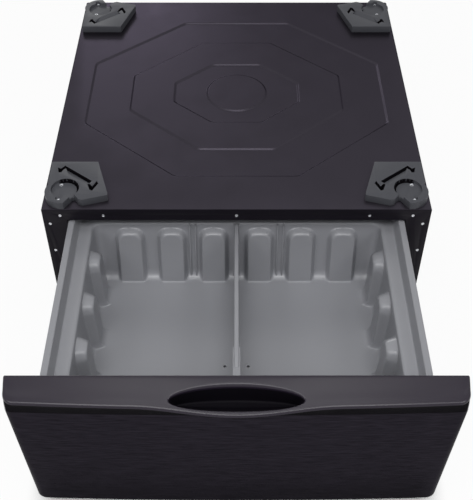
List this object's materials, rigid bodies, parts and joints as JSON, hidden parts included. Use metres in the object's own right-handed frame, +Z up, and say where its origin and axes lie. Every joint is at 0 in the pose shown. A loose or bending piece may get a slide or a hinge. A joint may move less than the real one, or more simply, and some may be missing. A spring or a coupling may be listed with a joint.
{
  "type": "washer pedestal drawer",
  "caption": "Laundry pedestal with a pressed deck, corner foot brackets and a deep drawer on telescopic slides with a ribbed tub and a divider.",
  "frame": {"origin": "on the floor, under the middle of the pedestal with its drawer drawn out", "axes": "+Z up, -Y towards the person at the drawer, +X to that person's right"},
  "size_m": [0.686, 1.0944, 0.376],
  "materials": {
    "cabinet_paint": "satin dark grey paint",
    "frame_paint": "near-black satin paint",
    "bracket_plastic": "grained grey plastic",
    "zinc_steel": "bright zinc",
    "galvanised_sheet": "dull galvanised sheet",
    "tub_plastic": "smooth satin grey plastic",
    "brushed_dark_steel": "dark steel with a level brushed grain",
    "cap_plastic": "dark grey satin plastic",
    "cup_plastic": "black plastic",
    "dark_rubber": "black rubber"
  },
  "bodies": {
    "cabinet": {"top_panel": "cabinet_paint", "side_panel_left": "cabinet_paint", "side_panel_right": "cabinet_paint", "back_panel": "cabinet_paint", "front_frame": "frame_paint", "base_frame": "frame_paint", "deck_brace_front": "frame_paint", "deck_brace_rear": "frame_paint", "foot_bracket_front_left": "bracket_plastic", "bracket_screw_front_left_1": "zinc_steel", "bracket_screw_front_left_2": "zinc_steel", "foot_bracket_front_right": "bracket_plastic", "bracket_screw_front_right_1": "zinc_steel", "bracket_screw_front_right_2": "zinc_steel", "foot_bracket_rear_left": "bracket_plastic", "bracket_screw_rear_left_1": "zinc_steel", "bracket_screw_rear_left_2": "zinc_steel", "foot_bracket_rear_right": "bracket_plastic", "bracket_screw_rear_right_1": "zinc_steel", "bracket_screw_rear_right_2": "zinc_steel", "frame_screw_1": "zinc_steel", "frame_screw_2": "zinc_steel", "frame_screw_3": "zinc_steel", "frame_screw_4": "zinc_steel", "frame_screw_5": "zinc_steel", "frame_screw_6": "zinc_steel", "frame_screw_7": "zinc_steel", "frame_screw_8": "zinc_steel", "frame_screw_9": "zinc_steel", "frame_screw_10": "zinc_steel", "frame_screw_11": "zinc_steel", "frame_screw_12": "zinc_steel", "frame_screw_13": "zinc_steel", "foot_nut_front_left": "zinc_steel", "foot_nut_front_right": "zinc_steel", "foot_nut_rear_left": "zinc_steel", "foot_nut_rear_right": "zinc_steel", "slide_mount_left": "galvanised_sheet", "slide_mount_right": "galvanised_sheet", "slide_outer_left": "zinc_steel", "slide_outer_right": "zinc_steel"},
    "drawer": {"drawer_tub": "tub_plastic", "divider": "tub_plastic", "divider_front_sleeve": "tub_plastic", "drawer_front_skin": "brushed_dark_steel", "front_backing_panel": "galvanised_sheet", "drawer_top_cap": "cap_plastic", "handle_cup": "cup_plastic", "slide_inner_left": "zinc_steel", "slide_inner_right": "zinc_steel", "drawer_carrier_left": "galvanised_sheet", "drawer_carrier_right": "galvanised_sheet", "bumper_left": "dark_rubber", "bumper_right": "dark_rubber"},
    "mid_slide_left": {"slide_mid_left": "zinc_steel"},
    "mid_slide_right": {"slide_mid_right": "zinc_steel"},
    "foot_front_left": {"levelling_foot_front_left": "dark_rubber"},
    "foot_front_right": {"levelling_foot_front_right": "dark_rubber"},
    "foot_rear_left": {"levelling_foot_rear_left": "dark_rubber"},
    "foot_rear_right": {"levelling_foot_rear_right": "dark_rubber"}
  },
  "joints": [
    {"name": "drawer_slide", "type": "slide", "parent": "cabinet", "child": "drawer", "axis": [0, -1, 0], "range_m": [-0.35, 0]},
    {"name": "mid_slide_left_slide", "type": "slide", "parent": "cabinet", "child": "mid_slide_left", "axis": [0, -1, 0], "range_m": [-0.175, 0]},
    {"name": "mid_slide_right_slide", "type": "slide", "parent": "cabinet", "child": "mid_slide_right", "axis": [0, -1, 0], "range_m": [-0.175, 0]},
    {"name": "foot_turn_front_left", "type": "hinge", "parent": "cabinet", "child": "foot_front_left", "pos_m": [-0.3139, -0.10305, 0], "axis": [0, 0, 1], "continuous": true},
    {"name": "foot_turn_front_right", "type": "hinge", "parent": "cabinet", "child": "foot_front_right", "pos_m": [0.3139, -0.10305, 0], "axis": [0, 0, 1], "continuous": true},
    {"name": "foot_turn_rear_left", "type": "hinge", "parent": "cabinet", "child": "foot_rear_left", "pos_m": [-0.3139, 0.51805, 0], "axis": [0, 0, 1], "continuous": true},
    {"name": "foot_turn_rear_right", "type": "hinge", "parent": "cabinet", "child": "foot_rear_right", "pos_m": [0.3139, 0.51805, 0], "axis": [0, 0, 1], "continuous": true}
  ],
  "couplings": [
    {"joint": "mid_slide_left_slide", "follows": "drawer_slide", "ratio": 0.5},
    {"joint": "mid_slide_right_slide", "follows": "drawer_slide", "ratio": 0.5}
  ]
}
